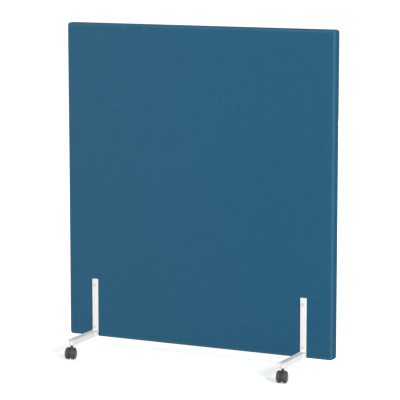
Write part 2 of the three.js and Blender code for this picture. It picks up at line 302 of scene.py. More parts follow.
def weave(tree):
    """A plain weave that follows the cloth round the panel's edges: its height, and each thread's shade."""
    low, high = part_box("fabric_cover")
    half_depth = (high.y - low.y) / 2
    at = add(tree, "SeparateXYZ", {0: place(tree)}).outputs
    normal = add(tree, "SeparateXYZ", {0: add(tree, "TexCoord").outputs["Normal"]}).outputs
    wrap = maths(tree, "SUBTRACT", half_depth, maths(tree, "ABSOLUTE", at["Y"]))
    wander = cloud(tree, THREAD_WANDER_SIZE, detail=1.0)
    offset = between(tree, wander, -THREAD_WANDER, THREAD_WANDER)
    positions = []
    for axis in ("X", "Z"):
        turn = maths(tree, "MULTIPLY", normal[axis], normal[axis])
        along = maths(tree, "MULTIPLY_ADD", wrap, turn, at[axis])
        positions.append(maths(tree, "ADD", along, offset))
    waves = [maths(tree, "SINE", maths(tree, "MULTIPLY", p, math.pi / THREAD_PITCH)) for p in positions]
    backs = [maths(tree, "POWER", maths(tree, "ABSOLUTE", wave), THREAD_ROUNDNESS) for wave in waves]
    round_warp, round_weft = backs
    warp_over = maths(tree, "GREATER_THAN", maths(tree, "MULTIPLY", *waves), 0.0)
    warp_height = maths(tree, "MULTIPLY", round_warp, between(tree, round_weft, THREAD_DIP, 1.0))
    weft_height = maths(tree, "MULTIPLY", round_weft, between(tree, round_warp, THREAD_DIP, 1.0))
    height = add(tree, "Mix", {"Factor": warp_over, 2: weft_height, 3: warp_height}).outputs[0]
    threads = []
    for across, run in ((0, 1), (1, 0)):
        scales = [0.0, 0.0]
        scales[across] = 1 / THREAD_PITCH
        scales[run] = THREAD_SHADE_CHANGE / THREAD_PITCH
        parts = [maths(tree, "MULTIPLY", positions[i], scales[i]) for i in (0, 1)]
        where = add(tree, "CombineXYZ", {0: parts[0], 1: parts[1], 2: across * WEFT_SHIFT}).outputs[0]
        threads.append(add(tree, "TexNoise", {"Vector": where, "Scale": 1.0, "Detail": 1.0}).outputs["Fac"])
    thread = add(tree, "Mix", {"Factor": warp_over, 2: threads[1], 3: threads[0]}).outputs[0]
    return height, thread


def rounding_highlight(tree):
    """Share of the painted highlight: most on the panel's roundings, none inside its faces and sides."""
    low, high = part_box("fabric_cover")
    middle = (low + high) / 2
    at = add(tree, "SeparateXYZ", {0: place(tree)}).outputs
    insets = []
    for axis, centre, edge in (("X", middle.x, high.x), ("Z", middle.z, high.z)):
        away = maths(tree, "ABSOLUTE", maths(tree, "SUBTRACT", at[axis], centre))
        insets.append(maths(tree, "SUBTRACT", edge - centre, away))
    inside = maths(tree, "MINIMUM", *insets)
    rising = between(tree, inside, 0.0, 1.0, 0.0, HIGHLIGHT_MOST)
    falling = between(tree, inside, 1.0, 0.0, HIGHLIGHT_MOST, HIGHLIGHT_END)
    return maths(tree, "MINIMUM", rising, falling)


def left_sheen(tree):
    """The painted sheen's share across the cloth: 0 at the left, where it is strongest, and 1 past the
    middle, where it is gone.
    """
    low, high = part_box("fabric_cover")
    across = add(tree, "SeparateXYZ", {0: place(tree)}).outputs["X"]
    clouds = cloud(tree, 300 * MM, detail=1.0)
    uneven = maths(tree, "MULTIPLY_ADD", clouds, SHEEN_CLOUDS, across)
    return between(tree, uneven, 0.0, 1.0, low.x + SHEEN_CLOUDS / 2, SHEEN_GONE_FROM + SHEEN_CLOUDS / 2)


def fabric():
    """Blue upholstery cloth: a plain weave in slightly uneven threads, with painted shade in the weave's
    hollows, a painted highlight along the roundings and a painted sheen towards the left.
    """
    made, tree, shader = principled("blue_cloth", Roughness=0.9, Specular_IOR_Level=0.06)
    shader.inputs["Sheen Weight"].default_value = 0.08
    shader.inputs["Sheen Roughness"].default_value = 0.22
    shader.inputs["Sheen Tint"].default_value = srgb(200, 220, 235)
    height, thread = weave(tree)
    thread_shade = between(tree, thread, 0.80, 1.20, 0.3, 0.7)
    # darker down in the weave's hollows between the threads: painted shade
    hollow_shade = between(tree, height, 0.82, 1.08)
    mottle = between(tree, cloud(tree, MOTTLE_SIZE, detail=3.0), 0.975, 1.025, 0.3, 0.7)
    shade = maths(tree, "MULTIPLY", maths(tree, "MULTIPLY", thread_shade, hollow_shade), mottle)
    # paler and greyer at the left: a painted sheen, standing in for the light that falls there
    plain = mixed(tree, left_sheen(tree), srgb(47, 92, 119), srgb(40, 89, 118))
    # paler along the roundings, where the light catches them: a painted highlight
    colour = mixed(tree, rounding_highlight(tree), plain, srgb(59, 103, 128))
    tree.links.new(shaded(tree, colour, shade), shader.inputs["Base Color"])
    fibres = cloud(tree, FIBRE_SIZE)
    relief_height = maths(tree, "MULTIPLY_ADD", fibres, 0.25, height)
    bumped(tree, shader, relief_height, RELIEF_DEPTH, 0.6)
    return made


def grained(name, matt, dark, pale, depth, size, **grain):
    """A plain material in two mixed colours, with a bump of the same grain that many metres deep."""
    made, tree, shader = principled(name, Roughness=matt)
    amount = cloud(tree, size, **grain)
    tree.links.new(mixed(tree, amount, dark, pale), shader.inputs["Base Color"])
    bumped(tree, shader, amount, depth)
    return made


def timber(name, along):
    """Planed softwood whose grain runs along one axis."""
    made, tree, shader = principled(name, Roughness=0.72)
    stretch = [1.0, 1.0, 1.0]
    stretch[along] = 0.06
    rings = cloud(tree, 9 * MM, detail=4.0, roughness=0.6, stretch=stretch)
    lines = maths(tree, "FRACT", maths(tree, "MULTIPLY", rings, 7.0))
    colour = mixed(tree, lines, srgb(214, 180, 128), srgb(184, 144, 92))
    patches = between(tree, cloud(tree, 120 * MM), 0.88, 1.08, 0.3, 0.7)
    tree.links.new(shaded(tree, colour, patches), shader.inputs["Base Color"])
    bumped(tree, shader, lines, 0.1 * MM, 0.5)
    return made


def powder_coat(name, colour):
    """White powder coat with a fine orange-peel surface and a little handling wear."""
    made, tree, shader = principled(name)
    peel = cloud(tree, 1.8 * MM, detail=1.0)
    handled = cloud(tree, 35 * MM, detail=4.0, roughness=0.6)
    tree.links.new(between(tree, handled, 0.36, 0.52, 0.3, 0.7), shader.inputs["Roughness"])
    shade = between(tree, handled, 0.965, 1.0, 0.3, 0.7)
    tree.links.new(shaded(tree, colour, shade), shader.inputs["Base Color"])
    bumped(tree, shader, peel, 0.03 * MM, 0.5)
    return made


def zinc():
    """Bright zinc plate, brushed round the turned piece."""
    made, tree, shader = principled("zinc_plate", Metallic=1.0)
    turning = cloud(tree, 6 * MM, detail=4.0, stretch=(1.0, 1.0, 30.0))
    tree.links.new(between(tree, turning, 0.22, 0.4, 0.3, 0.7), shader.inputs["Roughness"])
    colour = mixed(tree, turning, srgb(178, 182, 186), srgb(218, 220, 222))
    tree.links.new(colour, shader.inputs["Base Color"])
    bumped(tree, shader, turning, 0.02 * MM, 0.5)
    return made


def black_nylon():
    """Moulded black nylon with a fine spark-eroded texture."""
    made, tree, shader = principled("black_nylon", Specular_IOR_Level=0.35)
    grain = cloud(tree, 0.6 * MM)
    patches = cloud(tree, 9 * MM, detail=3.0)
    tree.links.new(between(tree, patches, 0.4, 0.55, 0.3, 0.7), shader.inputs["Roughness"])
    colour = mixed(tree, patches, srgb(50, 50, 51), srgb(60, 60, 61))
    tree.links.new(colour, shader.inputs["Base Color"])
    bumped(tree, shader, grain, 0.05 * MM, 0.6)
    return made


SCUFFED_FROM, SCUFFED_TO = 22.5 * MM, 24.8 * MM  # radii over which a wheel's scuffs set in


def wheel_nylon():
    """A black nylon wheel about its own X axis, scuffed and dusty on the tread."""
    made, tree, shader = principled("wheel_nylon", Specular_IOR_Level=0.35)
    at = add(tree, "SeparateXYZ", {0: place(tree)}).outputs
    squares = [maths(tree, "MULTIPLY", at[k], at[k]) for k in ("Y", "Z")]
    radius = maths(tree, "SQRT", maths(tree, "ADD", *squares))
    on_tread = between(tree, radius, 0.0, 1.0, SCUFFED_FROM, SCUFFED_TO)
    scuffs = cloud(tree, 2.5 * MM, detail=5.0, roughness=0.65)
    worn = maths(tree, "MULTIPLY", on_tread, between(tree, scuffs, 0.25, 1.0, 0.35, 0.65))
    grain = cloud(tree, 0.6 * MM)
    patches = cloud(tree, 11 * MM, detail=3.0)
    clean = mixed(tree, patches, srgb(50, 50, 51), srgb(60, 60, 61))
    tree.links.new(mixed(tree, worn, clean, srgb(72, 72, 71)), shader.inputs["Base Color"])
    roughness = between(tree, worn, 0.36, 0.6)
    tree.links.new(roughness, shader.inputs["Roughness"])
    bumped(tree, shader, maths(tree, "ADD", grain, scuffs), 0.05 * MM, 0.6)
    return made


# ---- Meshes ----

EDGE_ANGLE = math.radians(35)  # from which an edge is sharp
BAR_EDGE_ANGLE = math.radians(60)
FINE = 64  # sides of the larger turned pieces
MEDIUM = 48
WHEEL_SIDES = 72
SAME_PLACE = 1e-6  # in metres


def add_object(name, mesh, material, matrix=Matrix.Identity(4)):
    """A new object of a mesh, with its material, at a place."""
    if not mesh.materials:
        mesh.materials.append(material)
    made = linked(name, mesh)
    made.matrix_world = matrix
    return made


def combined(mesh, other, operation):
    """One mesh joined with another or cut by it."""
    base, tool = linked("base", mesh), linked("tool", other)
    step = base.modifiers.new("step", "BOOLEAN")
    step.operation = operation
    step.solver = "EXACT"
    step.object = tool
    bpy.context.view_layer.update()
    graph = bpy.context.evaluated_depsgraph_get()
    result = bpy.data.meshes.new_from_object(base.evaluated_get(graph))
    name = mesh.name
    for made in (base, tool):
        bpy.data.objects.remove(made)
    bm = bmesh.new()
    bm.from_mesh(result)
    for old in (mesh, other, result):
        bpy.data.meshes.remove(old)
    bmesh.ops.remove_doubles(bm, verts=bm.verts, dist=SAME_PLACE)
    return to_mesh(name, bm)


def middle_of(box):
    return (box[0] + box[1]) / 2


def as_piece(made, body, slot, *nodes):
    """Makes an object ride on a body and stand for its CAD nodes."""
    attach(made, body)
    if nodes:
        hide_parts(*nodes)


def put_in_order(bm):
    """Sorts a mesh by place, because bevels leave it in an order that changes from run to run."""
    for rank, vert in enumerate(sorted(bm.verts, key=lambda vert: tuple(vert.co))):
        vert.index = rank
    bm.verts.sort()
    for parts in (bm.edges, bm.faces):
        for rank, part in enumerate(sorted(parts, key=lambda part: sorted(v.index for v in part.verts))):
            part.index = rank
        parts.sort()


def refinish(node, material):
    """Gives a CAD node another material."""
    materials = frame["nodes"][node].data.materials
    materials.clear()
    materials.append(material)


def to_mesh(name, bm, sharp_from=EDGE_ANGLE):
    """A mesh from a bmesh, with its faces turned out and its sharp edges marked."""
    bmesh.ops.recalc_face_normals(bm, faces=bm.faces)
    for edge in bm.edges:
        edge.smooth = len(edge.link_faces) == 2 and edge.calc_face_angle(0.0) < sharp_from
    for face in bm.faces:
        face.smooth = True
    put_in_order(bm)
    mesh = bpy.data.meshes.new(name)
    bm.to_mesh(mesh)
    bm.free()
    return mesh


def ring_mesh(name, rings, segments):
    """A solid about Z from a list of (radius, height) rings.

    A radius is a number or a function of the angle. Rings that start and end with a radius of 0 close
    on the axis, and otherwise the last ring joins the first.
    """
    bm = bmesh.new()
    made = []
    for radius, height in rings:
        if radius == 0:
            made.append([bm.verts.new((0, 0, height))])
            continue
        loop = []
        for k in range(segments):
            angle = 2 * math.pi * k / segments
            r = radius(angle) if callable(radius) else radius
            loop.append(bm.verts.new((r * math.cos(angle), r * math.sin(angle), height)))
        made.append(loop)
    on_axis = len(made[0]) == 1
    pairs = list(zip(made, made[1:] + ([] if on_axis else made[:1])))
    for low, high in pairs:
        for k in range(segments):
            j = (k + 1) % segments
            if len(low) == 1:
                bm.faces.new((low[0], high[j], high[k]))
            elif len(high) == 1:
                bm.faces.new((low[k], low[j], high[0]))
            else:
                bm.faces.new((low[k], low[j], high[j], high[k]))
    return to_mesh(name, bm)


def arc(centre_radius, centre_height, radius_r, radius_h, start, end, steps):
    """Rings along an arc of an ellipse, from one angle to another in degrees."""
    found = []
    for k in range(steps + 1):
        angle = math.radians(start + (end - start) * k / steps)
        radius = centre_radius + radius_r * math.cos(angle)
        found.append((radius, centre_height + radius_h * math.sin(angle)))
    return found


def block(low, high):
    """A plain block between two corners, to be cut and rounded."""
    bm = bmesh.new()
    bmesh.ops.create_cube(bm, size=1.0)
    for vert in bm.verts:
        vert.co = Vector((high[k] if vert.co[k] > 0 else low[k]) for k in range(3))
    return bm


def rounded(bm, edges, radius, segments, clamp=False):
    """Rounds some of a mesh's edges; clamped, the roundings stop where they meet."""
    sizes = {"offset": radius, "segments": segments, "profile": 0.5, "clamp_overlap": clamp}
    bmesh.ops.bevel(bm, geom=edges, affect="EDGES", **sizes)


def bar_mesh(name, low, high, rounding):
    """A bar between two corners with rounded edges."""
    size = Vector(high) - Vector(low)
    middle = (Vector(high) + Vector(low)) / 2
    bm = bmesh.new()
    bmesh.ops.create_cube(bm, size=1.0)
    for vert in bm.verts:
        vert.co = Vector(c * s for c, s in zip(vert.co, size)) + middle
    rounded(bm, bm.edges[:], rounding, 3)
    return to_mesh(name, bm, sharp_from=BAR_EDGE_ANGLE)


def extruded_mesh(name, outline, start, end, rounding=0.0):
    """An outline in X and Z, pushed from one Y to another."""
    bm = bmesh.new()
    loops = [[bm.verts.new((x, y, z)) for x, z in outline] for y in (start, end)]
    count = len(outline)
    for k in range(count):
        j = (k + 1) % count
        bm.faces.new((loops[0][k], loops[0][j], loops[1][j], loops[1][k]))
    caps = [bm.faces.new(loop) for loop in loops]
    if rounding:
        rounded(bm, [edge for cap in caps for edge in cap.edges], rounding, 2)
    return to_mesh(name, bm)


# ---- Panel ----

EDGE_RADIUS = 10 * MM
CORNER_RADIUS = 12 * MM
CLOTH_THICKNESS = 1.2 * MM
ROUNDING_STEPS = 10
SLOT_GAP = 0.4 * MM  # round the closing strip
BOLT_SLIT = 5.2 * MM  # half the side of the square opening at each bolt

# The cloth's grid: its cell, and how far its extra lines lie from the roundings, and from bars and bolts
CELL = 30 * MM
LEAST_CELL = 0.5 * MM
ROUNDING_GAP = 1.5 * MM
FROM_ROUNDINGS = [0.0, 6 * MM, 14 * MM, 26 * MM, 42 * MM]  # and that gap
FROM_BARS = [0.0, 2 * MM, 5 * MM, 9 * MM, 13 * MM, 18 * MM, 26 * MM]

# How the padding pushes the cloth out between its fixings
PADDING_PRESSURE = 0.6
PADDING_RISE = 1.5 * MM  # the furthest that it can push
PADDING_SOFTEST = 0.55  # share of the pressure where the padding is thinnest
PADDING_PATCH = 0.16  # size of its thick and thin places
CLOTH_WEIGHT = 0.3
CLOTH_STIFFNESS = 15.0
CLOTH_SHEAR = 5.0
SETTLING_FRAMES = 20
FLATNESS = 60  # how much more a large face weighs in the shading than the roundings beside it


def spread(start, end, step):
    """Evenly spaced values from start to end, at most a step apart."""
    count = max(1, math.ceil((end - start) / step))
    return [start + (end - start) * k / count for k in range(count + 1)]


def bar_boxes():
    return [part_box(foot + "_upright") for foot in FEET]


def bolt_points():
    """The middles of the bolts, as (x, z)."""
    found = []
    for foot in FEET[:2]:
        for which in ("upper", "lower"):
            middle = middle_of(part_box(f"{foot}_{which}_bolt"))
            found.append((middle.x, middle.z))
    return found


def cloth_lines(low, high):
    """The X and Z values of the cloth's grid, denser by the edges, the bars and the bolts."""
    insets = [CORNER_RADIUS + ROUNDING_GAP + away for away in FROM_ROUNDINGS]
    xs = {low.x + d for d in insets} | {high.x - d for d in insets}
    zs = {low.z + d for d in insets} | {high.z - d for d in insets}
    for bar_low, bar_high in bar_boxes()[:2]:
        xs |= {bar_low.x - d for d in FROM_BARS} | {bar_high.x + d for d in FROM_BARS}
        zs |= {bar_high.z + d for d in FROM_BARS}
    for x, z in bolt_points():
        xs |= {x - BOLT_SLIT, x + BOLT_SLIT}
        zs |= {z - BOLT_SLIT, z + BOLT_SLIT}
    return filled(sorted(xs)), filled(sorted(zs))


def filled(values):
    """Adds lines where two lie more than a cell apart, and drops those that nearly meet."""
    found = [values[0]]
    for value in values[1:]:
        if value - found[-1] > LEAST_CELL:
            found += spread(found[-1], value, CELL)[1:]
    return found


def rounded_slab(low, high):
    """A slab whose corners are rounded seen from the front, and then its edges all round."""
    bm = block(low, high)
    through = [e for e in bm.edges if abs(e.verts[0].co.y - e.verts[1].co.y) > SAME_PLACE]
    rounded(bm, through, CORNER_RADIUS, ROUNDING_STEPS)
    rim = [e for e in bm.edges if abs(e.verts[0].co.y - e.verts[1].co.y) < SAME_PLACE]
    rounded(bm, rim, EDGE_RADIUS, ROUNDING_STEPS, clamp=True)
    return bm


def slice_all(bm, axis, values):
    """Cuts the whole mesh at each value along an axis."""
    normal = Vector((0, 0, 0))
    normal[axis] = 1.0
    for value in values:
        geom = bm.verts[:] + bm.edges[:] + bm.faces[:]
        bmesh.ops.bisect_plane(bm, geom=geom, dist=1e-7, plane_co=normal * value, plane_no=normal)


def cover_mesh():
    """The panel's cloth, open at the slot that the strip closes and where the bolts go through."""
    low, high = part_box("fabric_cover")
    strip_low, strip_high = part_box("bottom_strip")
    left, right = strip_low.x - SLOT_GAP, strip_high.x + SLOT_GAP
    front, rear = strip_low.y - SLOT_GAP, strip_high.y + SLOT_GAP
    bm = rounded_slab(low, high)
    xs, zs = cloth_lines(low, high)
    slice_all(bm, 0, xs)
    slice_all(bm, 2, zs)
    slice_all(bm, 0, (left, right))
    slice_all(bm, 1, (front, rear))
    bolts = bolt_points()
    doomed = []
    for face in bm.faces:
        middle = face.calc_center_median()
        under = middle.z < low.z + 1 * MM
        in_slot = under and left < middle.x < right and front < middle.y < rear
        on_face = abs(abs(middle.y) - high.y) < 1 * MM
        at_bolt = any(max(abs(middle.x - x), abs(middle.z - z)) < BOLT_SLIT for x, z in bolts)
        if in_slot or (on_face and at_bolt):
            doomed.append(face)
    bmesh.ops.delete(bm, geom=doomed, context="FACES")
    return to_mesh("fabric_cover_cloth", bm)


def held(spot, face, bars):
    """Whether the frame or a foot's bar holds the cloth at a point."""
    if abs(abs(spot.y) - face) > SAME_PLACE:
        return True
    slack = 0.1 * MM
    on_this_side = [(low, high) for low, high in bars if low.y * spot.y > 0]
    return any(low.x - slack < spot.x < high.x + slack and spot.z < high.z for low, high in on_this_side)


def mark_cloth(cover):
    """Marks the cloth's vertices by what holds them and by how hard the padding pushes them."""
    vertices = cover.data.vertices
    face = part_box("fabric_cover")[1].y
    bars = bar_boxes()
    fixed = [vert.index for vert in vertices if held(vert.co, face, bars)]
    cover.vertex_groups.new(name="held").add(fixed, 1.0, "REPLACE")
    push = cover.vertex_groups.new(name="push")
    for vert in vertices:
        thick = 0.5 + 0.5 * noise.noise(vert.co / PADDING_PATCH)
        push.add([vert.index], PADDING_SOFTEST + (1 - PADDING_SOFTEST) * thick, "REPLACE")


def cloth_modifier(cover):
    cloth = cover.modifiers.new("cloth", "CLOTH")
    settings = cloth.settings
    settings.mass = CLOTH_WEIGHT
    settings.tension_stiffness = CLOTH_STIFFNESS
    settings.compression_stiffness = CLOTH_STIFFNESS
    settings.shear_stiffness = CLOTH_SHEAR
    settings.vertex_group_mass = "held"
    settings.use_pressure = True
    settings.uniform_pressure_force = PADDING_PRESSURE
    settings.vertex_group_pressure = "push"
    settings.effector_weights.gravity = 0.0
    cloth.point_cache.frame_start = 1
    cloth.point_cache.frame_end = SETTLING_FRAMES
    return cloth


def settle(cover):
    """Lets the padding push the cloth out between its fixings, by a short cloth simulation."""
    mesh = cover.data
    mark_cloth(cover)
    cloth = cloth_modifier(cover)
    for frame_number in range(1, SETTLING_FRAMES + 1):
        bpy.context.scene.frame_set(frame_number)
    graph = bpy.context.evaluated_depsgraph_get()
    moved = cover.evaluated_get(graph).to_mesh()
    rises = [after.co.y - before.co.y for after, before in zip(moved.vertices, mesh.vertices)]
    for vert, rise in zip(mesh.vertices, rises):
        vert.co.y += PADDING_RISE * math.tanh(rise / PADDING_RISE)
    cover.modifiers.remove(cloth)
    cover.vertex_groups.clear()
    bpy.context.scene.frame_set(1)


def add_cover(material):
    cover = add_object("fabric_cover_cloth", cover_mesh(), material)
    settle(cover)
    shell = cover.modifiers.new("thickness", "SOLIDIFY")
    shell.thickness = CLOTH_THICKNESS
    shell.offset = -1.0
    shell.use_even_offset = True
    normals = cover.modifiers.new("normals", "WEIGHTED_NORMAL")
    normals.weight = FLATNESS
    as_piece(cover, ROOT, "fabric", "fabric_cover")


# ---- Feet, each in a frame where its arm runs along -Y ----

STEEL_ROUNDING = 0.7 * MM
FLANGE_THICKNESS = 3.5 * MM
WEB_THICKNESS = 3.5 * MM
ROOT_FILLET = 2.2 * MM
BUSH_BORE = 7.6 * MM
SOCKET_BORE = 5.9 * MM
BOLT_HOLE = 5.0 * MM
TURNED_ROUNDING = 0.5 * MM
WELD_RADIUS = 1.5 * MM
WELD_RIPPLE = 1.7 * MM  # from one ripple to the next
WELD_SIDES = 8
WELD_INSET = 1.0 * MM  # from the ends of what it joins
WELD_SINK = 0.4 * MM  # how far a bead's middle lies off its corner
WELD_RING_FROM, WELD_RING_TURN = 110, 320  # degrees round the bush that its bead covers
WELD_RING_STEPS = 32


def foot_frame(foot):
    """Where a foot stands: its place along the panel, turned half round at the rear."""
    turn = 0.0 if foot.startswith("front") else math.pi
    centre = middle_of(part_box(foot + "_upright")).x
    return Matrix.Translation((centre, 0, 0)) @ Matrix.Rotation(turn, 4, "Z")


def local_box(part):
    """The box of a part of the first front foot, in the foot's own frame, which all four feet share."""
    inverse = foot_frame(FEET[0]).inverted()
    ends = [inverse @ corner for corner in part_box(f"{FEET[0]}_{part}")]
    return Vector(map(min, *ends)), Vector(map(max, *ends))


def on_each_foot(name, mesh, material, slot, *nodes):
    """Puts the same mesh on all four feet; it stands for the named nodes of each."""
    for foot in FEET:
        made = add_object(f"{foot}_{name}", mesh, material, foot_frame(foot))
        as_piece(made, ROOT, slot, *[f"{foot}_{node}" for node in nodes])


def add_uprights(material):
    low, high = local_box("upright")
    mesh = bar_mesh("upright", low, high, STEEL_ROUNDING)
    for which in ("upper", "lower"):
        middle = middle_of(local_box(which + "_bolt"))
        drill = ring_mesh("drill", [(0, -1), (BOLT_HOLE, -1), (BOLT_HOLE, 1), (0, 1)], FINE)
        drill.transform(Matrix.Translation((middle.x, 0, middle.z)) @ Matrix.Rotation(math.pi / 2, 4, "X"))
        mesh = combined(mesh, drill, "DIFFERENCE")
    on_each_foot("upright_bar", mesh, material, "white_steel", "upright")


def tee_outline(half, top, bottom):
    """The T section's outline in X and Z, with filleted roots."""
    web = WEB_THICKNESS / 2
    under = top - FLANGE_THICKNESS
    edge = STEEL_ROUNDING
    right = [(half - edge, top), (half, top - edge), (half, under + edge), (half - edge, under)]
    for k in range(7):
        angle = math.pi / 2 * k / 6
        x = web + ROOT_FILLET * (1 - math.sin(angle))
        z = under - ROOT_FILLET * (1 - math.cos(angle))
        right.append((x, z))
    right += [(web, bottom + edge), (web - edge, bottom)]
    return right + [(-x, z) for x, z in reversed(right)]


def add_arms(material):
    low, high = local_box("arm")
    bush = local_box("stem_bush")
    web_end = bush[1].y
    tee = extruded_mesh("arm_tee", tee_outline(high.x, high.z, low.z), high.y, web_end)
    tip_low = Vector((low.x, low.y, high.z - FLANGE_THICKNESS))
    tip = bar_mesh("arm_tip", tip_low, (high.x, web_end + STEEL_ROUNDING, high.z), STEEL_ROUNDING)
    on_each_foot("arm_tee", combined(tee, tip, "UNION"), material, "white_steel", "arm")


def collar_rings(inner, outer, low, high, rounding):
    """Rings of a tube with rounded outer edges."""
    rings = [(inner, low), (outer - rounding, low)]
    rings += arc(outer - rounding, low + rounding, rounding, rounding, -90, 0, 3)[1:]
    rings += arc(outer - rounding, high - rounding, rounding, rounding, 0, 90, 3)[1:]
    return rings + [(inner, high)]


def add_bushes(white, grey):
    """The welded bush at the end of each arm, and the nylon socket in it."""
    for part, inner, material, slot in (
        ("stem_bush", BUSH_BORE, white, "white_steel"),
        ("stem_socket", SOCKET_BORE, grey, "socket"),
    ):
        low, high = local_box(part)
        rings = collar_rings(inner, (high.x - low.x) / 2, low.z, high.z, TURNED_ROUNDING)
        mesh = ring_mesh(part, rings, FINE)
        mesh.transform(Matrix.Translation((0, (low.y + high.y) / 2, 0)))
        on_each_foot(part + "_turned", mesh, material, slot, part)


def bead_mesh(name, paths):
    """Weld beads: rippled tubes along paths, closed at their ends."""
    bm = bmesh.new()
    turns = [2 * math.pi * n / WELD_SIDES for n in range(WELD_SIDES)]
    for path in paths:
        total = sum((b - a).length for a, b in zip(path, path[1:]))
        count = max(4, round(total / (WELD_RIPPLE / 4)))
        loops = []
        for k in range(count + 1):
            share = k / count
            spot, heading = along_path(path, share * total)
            side = heading.orthogonal().normalized()
            up = heading.cross(side)
            end = min(1.0, math.sqrt(max(0.0, min(share, 1 - share) * total / WELD_RADIUS)))
            ripple = 1 + 0.10 * math.sin(2 * math.pi * share * total / WELD_RIPPLE)
            radius = WELD_RADIUS * ripple * (0.25 + 0.75 * end)
            spokes = [side * math.cos(turn) + up * math.sin(turn) for turn in turns]
            loops.append([bm.verts.new(spot + radius * spoke) for spoke in spokes])
        for first, second in zip(loops, loops[1:]):
            for n in range(WELD_SIDES):
                m = (n + 1) % WELD_SIDES
                bm.faces.new((first[n], first[m], second[m], second[n]))
        bm.faces.new(loops[0])
        bm.faces.new(loops[-1])
    return to_mesh(name, bm)


def along_path(path, distance):
    """The point at a distance along a path, and the direction there."""
    for a, b in zip(path, path[1:]):
        length = (b - a).length
        if distance <= length or b is path[-1]:
            return a.lerp(b, min(1.0, distance / length)), (b - a).normalized()
        distance -= length


def add_welds(material):
    """The beads between upright and arm, and round the bush."""
    low, high = local_box("arm")
    bush = local_box("stem_bush")
    middle = middle_of(bush)
    under = high.z - FLANGE_THICKNESS
    web = WEB_THICKNESS / 2
    root = high.y
    edge = high.x - WELD_INSET
    radius = (bush[1].x - bush[0].x) / 2
    meeting = math.asin(web / (bush[1].x - bush[0].x) * 2)
    joint_y = middle.y + (bush[1].y - middle.y) * math.cos(meeting)
    paths = [[Vector((-edge, root, high.z)), Vector((edge, root, high.z))]]
    for side in (-1, 1):
        corner = Vector((side * (web + WELD_SINK), root, under - WELD_SINK))
        foot_of_web = Vector((side * (web + WELD_SINK / 2), root, low.z + 2 * WELD_INSET))
        paths.append([foot_of_web, corner, Vector((side * edge, root, under))])
        at_bush = [bush[0].z - 4 * MM, under - WELD_INSET]
        paths.append([Vector((side * web, joint_y + WELD_SINK, height)) for height in at_bush])
    ring = []
    for k in range(WELD_RING_STEPS + 1):
        angle = math.radians(WELD_RING_FROM + WELD_RING_TURN * k / WELD_RING_STEPS)
        ring.append(Vector((radius * math.cos(angle), middle.y + radius * math.sin(angle), under)))
    paths.append(ring)
    on_each_foot("welds", bead_mesh("welds", paths), material, "white_steel")


# The fasteners, each about Z with the underside of its head at 0 and its shank below
HEX_REACH = 2.3 * MM
HEX_DEPTH = 1.8 * MM
HEAD_RIM = 1.2 * MM
SHANK_RADIUS = 3.0 * MM
SHANK_CHAMFER = 0.5 * MM
THREAD_DEPTH = 0.25 * MM
THREAD_RISE = 1.0 * MM
THREAD_FROM, THREAD_TO = 0.6 * MM, 16 * MM  # from the bolt's tip
BARREL_RADIUS = 4.5 * MM
BARREL_EDGE = 0.4 * MM
BORE_GAP = 0.3 * MM
BORE_DEPTH = 13.5 * MM


def hexagon(reach):
    """The radius of a hexagon at an angle."""
    def radius(angle):
        return reach * math.cos(math.pi / 6) / math.cos(angle % (math.pi / 3) - math.pi / 6)
    return radius


def head_rings(radius, height):
    """A low dome from its underside to the bottom of its hexagon socket."""
    rings = [(radius - 0.3 * MM, 0.0), (radius, 0.3 * MM), (radius, HEAD_RIM)]
    rings += arc(0.0, HEAD_RIM, radius, height - HEAD_RIM, 12, 62, 6)
    rings += [
        (HEX_REACH + 0.5 * MM, height - 0.05 * MM),
        (hexagon(HEX_REACH + 0.15 * MM), height - 0.1 * MM),
        (hexagon(HEX_REACH), height - 0.35 * MM),
        (hexagon(HEX_REACH), height - HEX_DEPTH),
        (0, height - HEX_DEPTH - 0.3 * MM),
    ]
    return rings


def thread_rings(radius, start, end):
    """A run of ring grooves that stands for a thread."""
    rings = []
    count = round((end - start) / THREAD_RISE)
    for k in range(count):
        at = start + k * THREAD_RISE
        rings += [(radius - THREAD_DEPTH, at), (radius, at + THREAD_RISE / 2)]
    return rings


def bolt_mesh(tip, head):
    """A bolt down to its tip."""
    rings = [(0, tip), (SHANK_RADIUS - SHANK_CHAMFER, tip)]
    rings += thread_rings(SHANK_RADIUS, tip + THREAD_FROM, tip + THREAD_TO)
    rings += [(SHANK_RADIUS, tip + THREAD_TO + SHANK_CHAMFER), (SHANK_RADIUS, 0.0)]
    return ring_mesh("bolt", rings + head, MEDIUM)


def nut_mesh(end, head):
    """A sleeve nut down to its open end."""
    bore = SHANK_RADIUS + BORE_GAP
    rings = [(0, end + BORE_DEPTH), (bore, end + BORE_DEPTH)]
    rings += [(bore, end + SHANK_CHAMFER), (bore + SHANK_CHAMFER, end)]
    rings += [(BARREL_RADIUS - BARREL_EDGE, end), (BARREL_RADIUS, end + BARREL_EDGE), (BARREL_RADIUS, 0.0)]
    return ring_mesh("sleeve_nut", rings + head, MEDIUM)


def add_fasteners(material):
    """Dome-head bolts through the front feet, and the sleeve nuts that take them at the rear."""
    head_low, head_high = local_box("upper_bolt")
    seat = bolt_seat()
    height = seat - head_low.y
    head = head_rings((head_high.x - head_low.x) / 2, height)
    bolt = bolt_mesh(seat - head_high.y, head)
    nut_low, nut_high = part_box("rear_left_upper_sleeve_nut")
    nut = nut_mesh(-(nut_high.y - nut_low.y - height), head)
    outward = Matrix.Rotation(math.pi / 2, 4, "X")
    for foot in FEET:
        kind, mesh = ("bolt", bolt) if foot.startswith("front") else ("sleeve_nut", nut)
        for which in ("upper", "lower"):
            node = f"{foot}_{which}_{kind}"
            spot = Matrix.Translation((0, seat, middle_of(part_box(node)).z))
            made = add_object(node + "_turned", mesh, material, foot_frame(foot) @ spot @ outward)
            as_piece(made, ROOT, "white_bolt", node)


def bolt_seat():
    """The Y at which the bolt heads seat, just in front of the upright."""
    return local_box("upright")[0].y - 0.3 * MM


# ---- Castors, each in a frame with the stem on Z and the wheels towards -Y ----

JOINTS = {joint["name"]: joint for joint in frame["joints"]}

